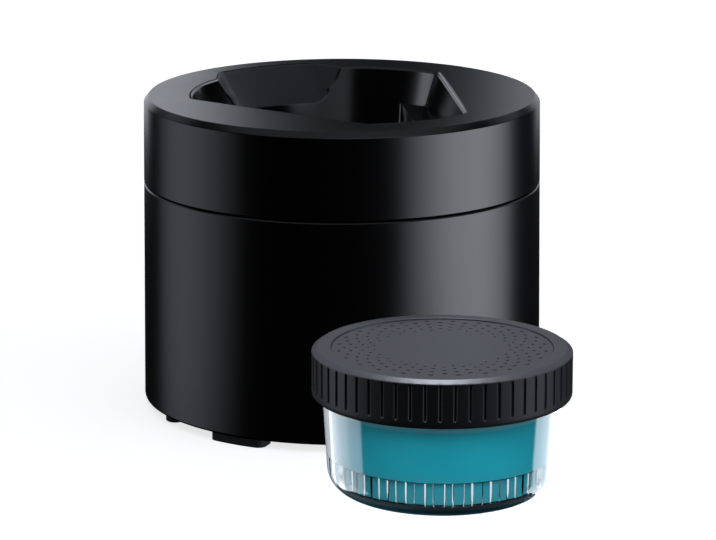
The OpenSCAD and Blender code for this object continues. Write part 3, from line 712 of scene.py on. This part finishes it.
def teal_fluid():
    """Teal, cloudy enough to hide what is behind it, with a greyer foot and a pale top under the cap."""
    made, tree = new_material("teal_fluid")
    place = add(tree, "TexCoord")
    height = add(tree, "SeparateXYZ", {0: place.outputs["Object"]})
    rise = add(tree, "MapRange", {"Value": height.outputs["Z"], "From Min": FLUID_LOW * MM,
                                  "From Max": FLUID_FULL * MM})
    cloud = add(tree, "TexNoise", {"Vector": place.outputs["Object"], "Scale": 1 / (22 * MM), "Detail": 2.0})
    teal = add(tree, "MixRGB", {"Fac": cloud.outputs[0], "Color1": srgb("#008e9b"),
                                "Color2": srgb("#1aacb8")})
    low = add(tree, "MixRGB", {"Fac": rise.outputs[0], "Color1": srgb("#3f8f98"), "Color2": teal.outputs[0]})
    top = add(tree, "MapRange", {"Value": height.outputs["Z"], "From Min": FOAM_LOW * MM,
                                 "From Max": FOAM_FULL * MM})
    tint = add(tree, "MixRGB", {"Fac": top.outputs[0], "Color1": low.outputs[0], "Color2": srgb("#6f9fa5")})
    body = add(tree, "BsdfPrincipled", {"Base Color": tint.outputs[0], "Roughness": 0.25, "IOR": 1.34,
                                        "Emission Color": srgb("#2f6f85"), "Emission Strength": 0.3})
    add(tree, "OutputMaterial", {"Surface": body.outputs[0]})
    return made


dress(teal_fluid(), "cleaning_fluid")
dress(moulded_pp("foam_liner", "#c8cacc", 0.8), "cap_liner")


# ---------- Cartridge cap ----------
# A screw cap in grey polypropylene with a satin skin: bevelled edge, 56 rounded grip grooves and a sunken
# disc with rings of small dimples, all moulded in. Its bore is plain here, without the thread.
GROOVES = 56
CAP_R = 41
GROOVE_R = 0.62
GROOVE_END = 33.9
GROOVE_FADE = 44.3
GROOVE_BLEND = 0.3
BORE_R = 39.2
BORE_LOW = 31.1
CAP_TOP = 46.4
DISC_TOP = 45.9
DISC_R = 34.6
DIMPLE_RINGS = 7
DIMPLES = 24
DIMPLE_FIRST, DIMPLE_STEP = 21.4, 1.87
DIMPLE_DEPTH = 0.6


def cap_columns():
    """Where the cap's points stand round it: the angle, and the distance from the nearest groove's middle."""
    step = math.tau * CAP_R / GROOVES
    half = [0.14, 0.28, 0.4, 0.5, 0.58, 0.66, 0.76, 0.88, 1.02]
    spots = [-s for s in reversed(half)] + [0] + half + [1.6, step / 2, step - 1.6]
    return [(math.tau * g / GROOVES + s / CAP_R, s) for g in range(GROOVES) for s in spots]


def cap_mesh(name):
    """The cap as loops from under its disc, down its bore, up its grooved side and in to the dimpled top."""
    heights = (32.9, 33.25, 33.35, 33.5, 33.7, GROOVE_END, 39, 44.2, 44.4, 44.6, 44.75, 44.9)
    side = bend(39.8, 32.1, 1.2, -90, 0, 6) + [(CAP_R, z) for z in heights]
    bevel = [(40.98, 45.08), (40.9, 45.2), (40.76, 45.34), (39.42, 46.24), (39.26, 46.34), (39.05, 46.39),
             (38.85, CAP_TOP)]
    top = [(35.25, CAP_TOP), (35.08, 46.37), (34.97, 46.26), (34.85, DISC_TOP - 0.3), (34.6, DISC_TOP - 0.7),
           (0.05, DISC_TOP - 0.7)]
    under = [(0.05, 45), (39, 45), (BORE_R, 44.8), (BORE_R, BORE_LOW)]
    rows = under + side + bevel + top
    points = []
    for r, z in rows:
        for turn, off in cap_columns():
            reach = r
            drop = max(GROOVE_END - z, 0)
            if r > 40 and z > 33:
                spread = math.hypot(off, drop)
                deep = math.sqrt(max(GROOVE_R ** 2 - spread * spread, 0)) - 4 * max(spread - GROOVE_R, 0)
                deep -= max(z - GROOVE_FADE, 0)
                reach = blunt_min(r, CAP_R + 0.08 - deep, GROOVE_BLEND)
            points.append(about_cartridge(reach, turn, z))
    faces = skin_faces(len(rows), len(cap_columns()), closed=True)
    add_dimpled_disc(points, faces)
    return mesh_object(name, points, faces)


def add_dimpled_disc(points, faces):
    """The disc's top: rings of cells, each with an oval dimple that grows outwards, a middle and a border."""
    spokes = 4 * DIMPLES
    inner = DIMPLE_FIRST - DIMPLE_STEP / 2
    borders = []
    for k in range(DIMPLE_RINGS + 1):
        borders.append(len(points))
        points += [about_cartridge(inner + k * DIMPLE_STEP, math.tau * i / spokes, DISC_TOP)
                   for i in range(spokes)]
    for k in range(DIMPLE_RINGS):
        middle = DIMPLE_FIRST + k * DIMPLE_STEP
        share = k / (DIMPLE_RINGS - 1)
        across, along = 0.34 + 0.24 * share, 0.55 + 0.45 * share
        spread = middle * math.tau / spokes
        corners = [(-DIMPLE_STEP / 2, -2)] + [(DIMPLE_STEP / 2, n) for n in range(-2, 3)] + [
            (-DIMPLE_STEP / 2, n) for n in range(2, -2, -1)]
        for i in range(DIMPLES):
            first = 4 * i + 2 * (k % 2)
            cell = [borders[k + (u > 0)] + (first + n + 2) % spokes for u, n in corners]
            angles = []
            for j in range(10):
                u, n = corners[j]
                to_u, to_n = corners[(j + 1) % 10]
                angles.append(math.atan2(n * spread / along, u / across))
                angles.append(math.atan2((n + to_n) / 2 * spread / along, (u + to_u) / 2 / across))
            turn = math.tau * (first + 2) / spokes
            rings = []
            for size, depth in ((1, 0), (0.9, 0.15), (0.75, DIMPLE_DEPTH)):
                rings.append(len(points))
                for a in angles:
                    reach = middle + across * size * math.cos(a)
                    aside = along * size * math.sin(a) / middle
                    points.append(about_cartridge(reach, turn + aside, DISC_TOP - depth))
            for j in range(10):
                faces.append((cell[j], cell[(j + 1) % 10], rings[0] + (2 * j + 2) % 20, rings[0] + 2 * j + 1,
                              rings[0] + 2 * j))
            for upper, lower in zip(rings, rings[1:]):
                faces += [(upper + n, upper + (n + 1) % 20, lower + (n + 1) % 20, lower + n)
                          for n in range(20)]
            faces.append(tuple(rings[2] + n for n in range(20)))
    faces.append(tuple(range(borders[0], borders[0] + spokes)))
    rim = len(points)
    for r, z in ((DISC_R, DISC_TOP), (DISC_R + 0.15, DISC_TOP - 0.1), (DISC_R + 0.2, DISC_TOP - 0.35)):
        points += [about_cartridge(r, math.tau * i / spokes, z) for i in range(spokes)]
    for upper, lower in ((borders[-1], rim), (rim, rim + spokes), (rim + spokes, rim + 2 * spokes)):
        faces += [(upper + i, upper + (i + 1) % spokes, lower + (i + 1) % spokes, lower + i)
                  for i in range(spokes)]


def satin_pp():
    """Polypropylene with a fine satin skin: mid grey, soft reflections."""
    made, tree = new_material("satin_grey_pp")
    place = add(tree, "TexCoord")
    skin = add(tree, "TexNoise", {"Vector": place.outputs["Object"], "Scale": 1 / (0.3 * MM), "Detail": 2.0})
    bump = add(tree, "Bump", {"Strength": 0.06, "Distance": 0.01 * MM, "Height": skin.outputs[0]})
    body = add(tree, "BsdfPrincipled", {"Base Color": srgb("#4a4a4e"), "Roughness": 0.4, "IOR": 1.5,
                                        "Normal": bump.outputs[0]})
    add(tree, "OutputMaterial", {"Surface": body.outputs[0]})
    return made


cap_skin = satin_pp()
cap = piece("cap", cap_mesh, cap_skin, "cap", "cartridge_cap")


# ---------- Lights for the cartridge ----------
# The photograph joins two shots, and the cartridge was lit by itself: its soft boxes shine on its own pieces,
# the pod's boxes pass it by, and the pod doesn't mirror it. Two more boxes shine into the bowl only.
def group_of(name, state, *pieces):
    """A collection for light linking: a light has to do with its pieces only, or with all but them."""
    group = bpy.data.collections.new(name)
    for made in pieces:
        group.objects.link(made)
    for entry in group.collection_objects:
        entry.light_linking.link_state = state
    return group


def only_for(light, made):
    """Makes a light shine on one piece only."""
    light.light_linking.receiver_collection = group_of(light.name + "_group", "INCLUDE", made)


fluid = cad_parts["cleaning_fluid"]
for light in pod_boxes:
    others = group_of(light.name + "_group", "EXCLUDE", cup, cap, fluid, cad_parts["cap_liner"])
    light.light_linking.receiver_collection = others
    light.light_linking.blocker_collection = others
only_for(softbox("cap_over", 0, 89, 1.2, 0.5, 0.5, 22), cap)
only_for(softbox("cap_right", 75, 0, 0.9, 1.2, 0.62, 1.1, soft=0.8), cap)
only_for(softbox("cap_left", -93, 0, 0.9, 1.0, 0.62, 1.1, soft=0.8), cap)
only_for(softbox("cup_left", -110, -18, 0.8, 0.92, 0.7, 3.3, inside=0.2), cup)
only_for(softbox("cup_right", 134, -18, 0.8, 1.25, 0.7, 4.5, inside=0.15), cup)
only_for(softbox("fluid_front", 5, 40, 1.0, 0.9, 0.5, 4.8), fluid)
only_for(softbox("fluid_right", 65, 15, 1.0, 0.5, 0.5, 3), fluid)
only_for(softbox("bowl_right", 140, 32, 1.4, 0.9, 0.3, 1.6), bowl)
only_for(softbox("bowl_left", -72, 27, 1.4, 0.3, 0.5, 2.2), bowl)
for made in (cup, cap, fluid):
    made.visible_glossy = False
